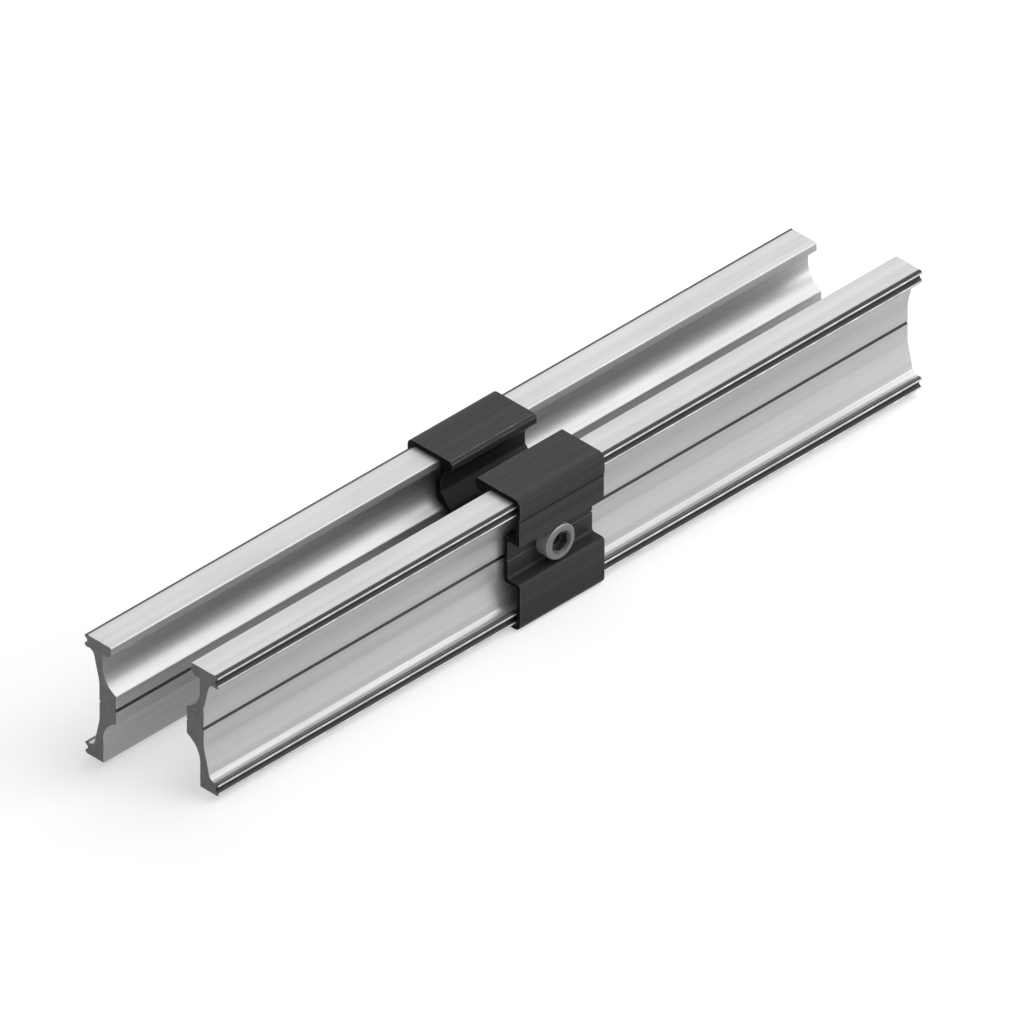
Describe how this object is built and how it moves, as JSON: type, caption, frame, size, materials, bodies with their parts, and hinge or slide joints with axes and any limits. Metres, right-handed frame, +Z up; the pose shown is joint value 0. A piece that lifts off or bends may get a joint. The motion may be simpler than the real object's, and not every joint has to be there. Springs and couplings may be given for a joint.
{
  "type": "solar rail connector",
  "caption": "Internal splice for slotted solar mounting rail: two toothed aluminium bars in a short black rail section, each clamped by a side screw.",
  "frame": {"origin": "middle of the centre section's foot, in the plane it rests on", "axes": "+X along the bars, +Y towards the rear bar, +Z up, out of the T-slot"},
  "size_m": [0.26, 0.04, 0.04],
  "materials": {
    "black_anodised": "satin black anodised",
    "mill_aluminium": "mill finish, as extruded, with sawn ends",
    "stainless_steel": "plain stainless steel"
  },
  "bodies": {
    "section": {"centre_section": "black_anodised"},
    "front_bar": {"splice_bar_front": "mill_aluminium"},
    "rear_bar": {"splice_bar_rear": "mill_aluminium"},
    "front_screw": {"clamp_screw_front": "stainless_steel"},
    "rear_screw": {"clamp_screw_rear": "stainless_steel"}
  },
  "joints": [
    {"name": "front_bar_slide", "type": "slide", "parent": "section", "child": "front_bar", "axis": [0, 1, 0], "range_m": [0, 0.0005]},
    {"name": "rear_bar_slide", "type": "slide", "parent": "section", "child": "rear_bar", "axis": [0, -1, 0], "range_m": [0, 0.0005]},
    {"name": "front_screw_turn", "type": "hinge", "parent": "section", "child": "front_screw", "pos_m": [0, -0.0156, 0.02], "axis": [0, -1, 0], "range_deg": [0, 180]},
    {"name": "rear_screw_turn", "type": "hinge", "parent": "section", "child": "rear_screw", "pos_m": [0, 0.0156, 0.02], "axis": [0, 1, 0], "range_deg": [0, 180]}
  ],
  "couplings": [
    {"joint": "front_screw_turn", "follows": "front_bar_slide", "rad_per_m": 6283.2},
    {"joint": "rear_screw_turn", "follows": "rear_bar_slide", "rad_per_m": 6283.2}
  ]
}
